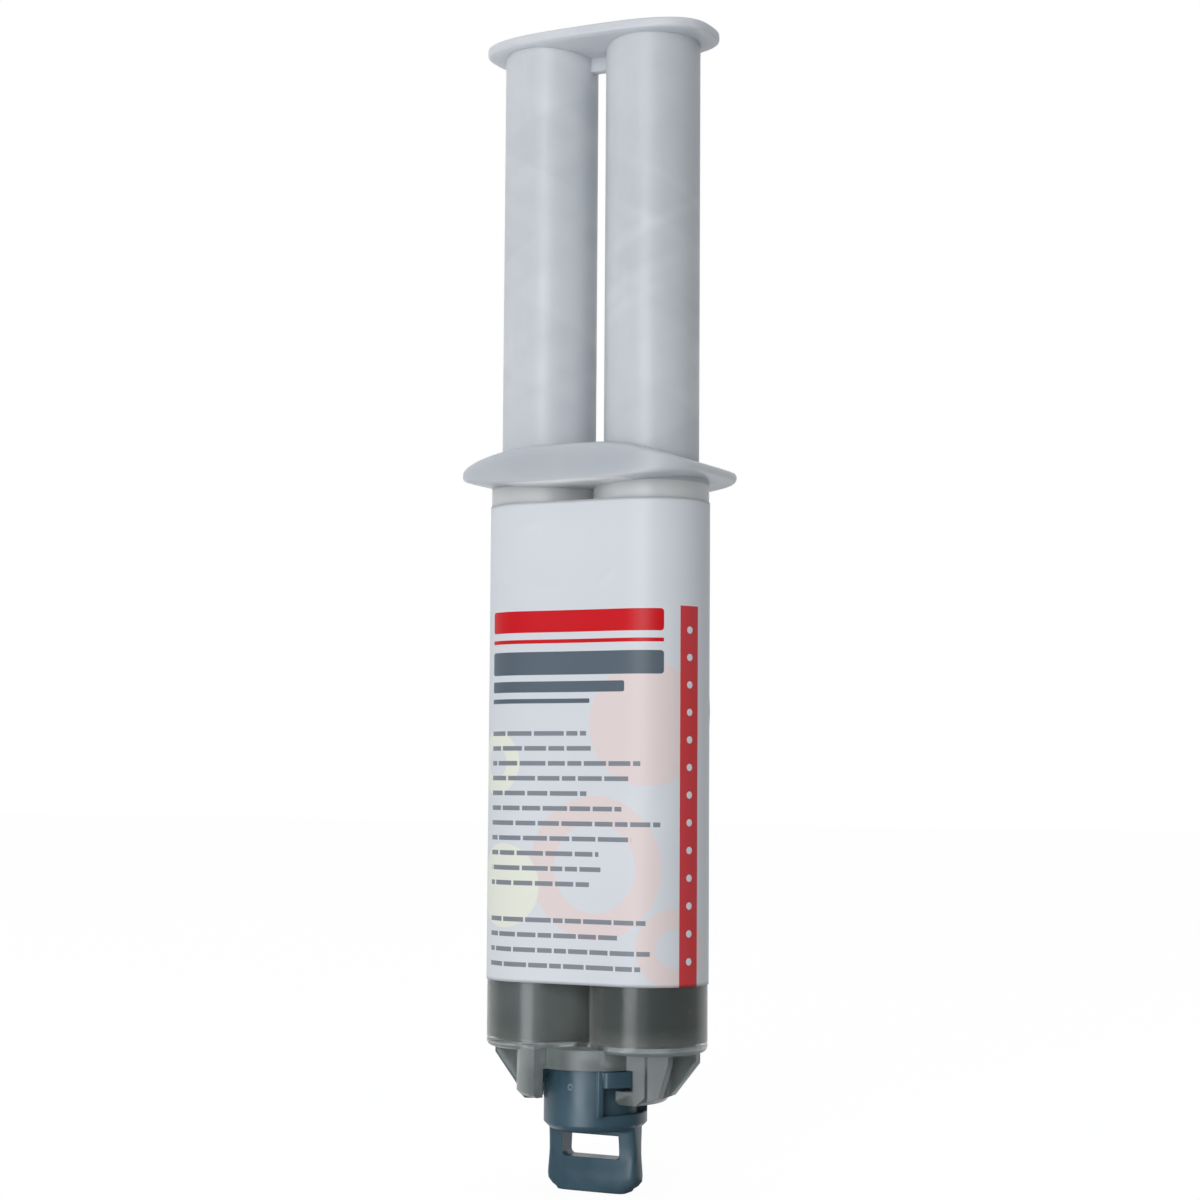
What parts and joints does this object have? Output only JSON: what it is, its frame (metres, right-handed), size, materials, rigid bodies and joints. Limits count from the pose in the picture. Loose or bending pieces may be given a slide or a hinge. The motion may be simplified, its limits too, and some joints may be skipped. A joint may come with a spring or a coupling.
{
  "type": "two-part adhesive syringe",
  "caption": "Twin-barrel syringe for two-part adhesive, with a joined plunger, finger flange, wrap label and a quarter-turn bayonet cap with a grip tab.",
  "frame": {"origin": "middle of the cap tab's foot, on the axis half way between the two barrels", "axes": "+Z along the barrels from the cap to the thumb plate, +X from the hardener barrel to the resin barrel, -Y the front of the label"},
  "size_m": [0.041, 0.0264, 0.1819],
  "materials": {
    "barrel_plastic": "natural polypropylene, translucent",
    "plunger_plastic": "white polypropylene, slightly translucent",
    "piston_plastic": "white polyethylene, satin",
    "seal_rubber": "satin black",
    "resin": "thick grey-green liquid",
    "hardener": "thick grey liquid",
    "label_film": "coated white label with a soft sheen",
    "cap_plastic": "slate grey polypropylene, satin",
    "plug_plastic": "slate grey polyethylene, satin"
  },
  "bodies": {
    "barrels": {"twin_barrel": "barrel_plastic", "wrap_label": "label_film", "resin_charge": "resin", "hardener_charge": "hardener", "outlet_plug": "plug_plastic"},
    "plunger": {"twin_plunger": "plunger_plastic", "resin_piston": "piston_plastic", "hardener_piston": "piston_plastic", "resin_seal_ring": "seal_rubber", "hardener_seal_ring": "seal_rubber"},
    "cap": {"turn_cap": "cap_plastic"}
  },
  "joints": [
    {"name": "plunger_push", "type": "slide", "parent": "barrels", "child": "plunger", "axis": [0, 0, -1], "range_m": [0, 0.06], "deforming": ["resin_charge", "hardener_charge"]},
    {"name": "cap_turn", "type": "hinge", "parent": "barrels", "child": "cap", "pos_m": [0, 0, 0.015], "axis": [0, 0, -1], "range_deg": [0, 90]}
  ]
}
